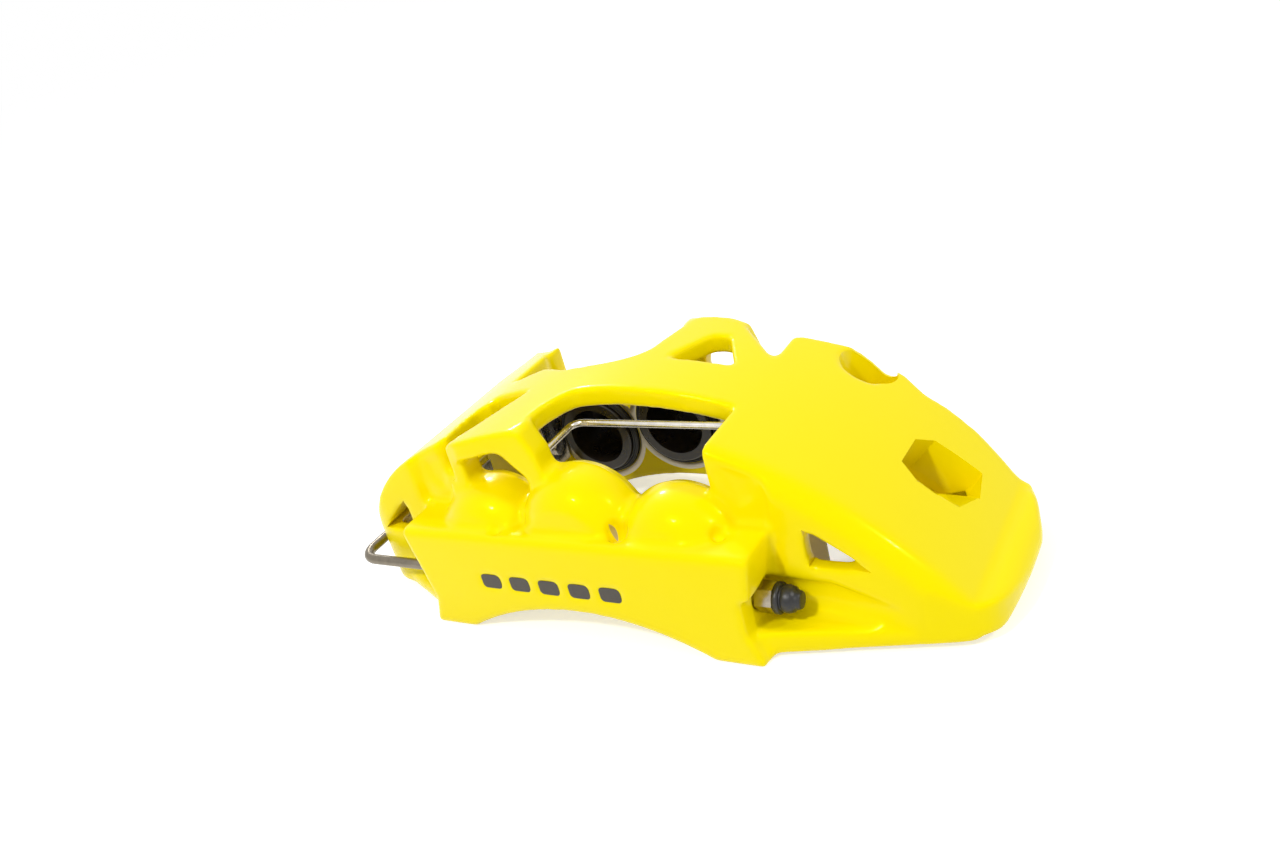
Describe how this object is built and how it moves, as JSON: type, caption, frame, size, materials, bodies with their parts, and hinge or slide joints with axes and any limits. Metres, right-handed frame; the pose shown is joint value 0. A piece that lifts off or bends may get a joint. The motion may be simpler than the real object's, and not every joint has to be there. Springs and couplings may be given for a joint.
{
  "type": "brake caliper",
  "caption": "Fixed monobloc disc-brake caliper in yellow, opposed pistons, open pad window under an asymmetric bridge, radial mounting lugs, bleed screws and a crossover pipe.",
  "frame": {"origin": "on the disc's mid-plane under the middle pistons, at the level of the feet", "axes": "+X along the caliper towards its long end, +Y along the wheel axle towards the vehicle (-Y is the wheel side), +Z radially outward from the disc"},
  "size_m": [0.3029, 0.142, 0.092],
  "materials": {
    "yellow_paint": "gloss enamel over a soft casting, with bare machined faces round the bores",
    "piston": "dark hard-anodised, turned",
    "rubber": "smooth black rubber",
    "zinc_steel": "yellow-passivated zinc",
    "dark_steel": "dark plated steel tube",
    "stainless": "bright stainless",
    "inlay_paint": "dark satin fill"
  },
  "bodies": {
    "caliper": {"caliper_body": "yellow_paint", "piston_seal_outboard_1": "rubber", "piston_boot_outboard_1": "rubber", "piston_seal_outboard_2": "rubber", "piston_boot_outboard_2": "rubber", "piston_seal_outboard_3": "rubber", "piston_boot_outboard_3": "rubber", "piston_seal_inboard_1": "rubber", "piston_boot_inboard_1": "rubber", "piston_seal_inboard_2": "rubber", "piston_boot_inboard_2": "rubber", "piston_seal_inboard_3": "rubber", "piston_boot_inboard_3": "rubber", "crossover_pipe": "dark_steel", "pipe_nut_outboard": "zinc_steel", "pipe_nut_inboard": "zinc_steel", "abutment_plate_outboard_short_end": "stainless", "abutment_screw_outboard_short_end": "stainless", "abutment_plate_outboard_long_end": "stainless", "abutment_screw_outboard_long_end": "stainless", "abutment_plate_inboard_short_end": "stainless", "abutment_screw_inboard_short_end": "stainless", "abutment_plate_inboard_long_end": "stainless", "abutment_screw_inboard_long_end": "stainless", "pad_wire": "stainless", "face_inlay": "inlay_paint"},
    "piston_outboard_1": {"piston_outboard_1": "piston"},
    "piston_outboard_2": {"piston_outboard_2": "piston"},
    "piston_outboard_3": {"piston_outboard_3": "piston"},
    "piston_inboard_1": {"piston_inboard_1": "piston"},
    "piston_inboard_2": {"piston_inboard_2": "piston"},
    "piston_inboard_3": {"piston_inboard_3": "piston"},
    "bleed_screw_outboard": {"bleed_screw_outboard": "zinc_steel"},
    "bleed_cap_outboard": {"bleed_cap_outboard": "rubber"},
    "bleed_screw_inboard": {"bleed_screw_inboard": "zinc_steel"},
    "bleed_cap_inboard": {"bleed_cap_inboard": "rubber"}
  },
  "joints": [
    {"name": "piston_slide_outboard_1", "type": "slide", "parent": "caliper", "child": "piston_outboard_1", "axis": [0, 1, 0], "range_m": [0, 0.01]},
    {"name": "piston_slide_outboard_2", "type": "slide", "parent": "caliper", "child": "piston_outboard_2", "axis": [0, 1, 0], "range_m": [0, 0.01]},
    {"name": "piston_slide_outboard_3", "type": "slide", "parent": "caliper", "child": "piston_outboard_3", "axis": [0, 1, 0], "range_m": [0, 0.01]},
    {"name": "piston_slide_inboard_1", "type": "slide", "parent": "caliper", "child": "piston_inboard_1", "axis": [0, -1, 0], "range_m": [0, 0.01]},
    {"name": "piston_slide_inboard_2", "type": "slide", "parent": "caliper", "child": "piston_inboard_2", "axis": [0, -1, 0], "range_m": [0, 0.01]},
    {"name": "piston_slide_inboard_3", "type": "slide", "parent": "caliper", "child": "piston_inboard_3", "axis": [0, -1, 0], "range_m": [0, 0.01]},
    {"name": "bleed_turn_outboard", "type": "hinge", "parent": "caliper", "child": "bleed_screw_outboard", "pos_m": [0.077, -0.055, 0.0224], "axis": [1, 0, 0], "range_deg": [0, 270]},
    {"name": "bleed_turn_inboard", "type": "hinge", "parent": "caliper", "child": "bleed_screw_inboard", "pos_m": [0.072, 0.063, 0.05], "axis": [0, 0, 1], "range_deg": [0, 270]},
    {"name": "cap_pull_outboard", "type": "slide", "parent": "bleed_screw_outboard", "child": "bleed_cap_outboard", "axis": [1, 0, 0], "range_m": [0, 0.01]},
    {"name": "cap_pull_inboard", "type": "slide", "parent": "bleed_screw_inboard", "child": "bleed_cap_inboard", "axis": [0, 0, 1], "range_m": [0, 0.01]}
  ],
  "couplings": [
    {"joint": "piston_slide_outboard_1", "follows": "piston_slide_outboard_2", "ratio": 1},
    {"joint": "piston_slide_outboard_3", "follows": "piston_slide_outboard_2", "ratio": 1},
    {"joint": "piston_slide_inboard_1", "follows": "piston_slide_outboard_2", "ratio": 1},
    {"joint": "piston_slide_inboard_2", "follows": "piston_slide_outboard_2", "ratio": 1},
    {"joint": "piston_slide_inboard_3", "follows": "piston_slide_outboard_2", "ratio": 1}
  ]
}
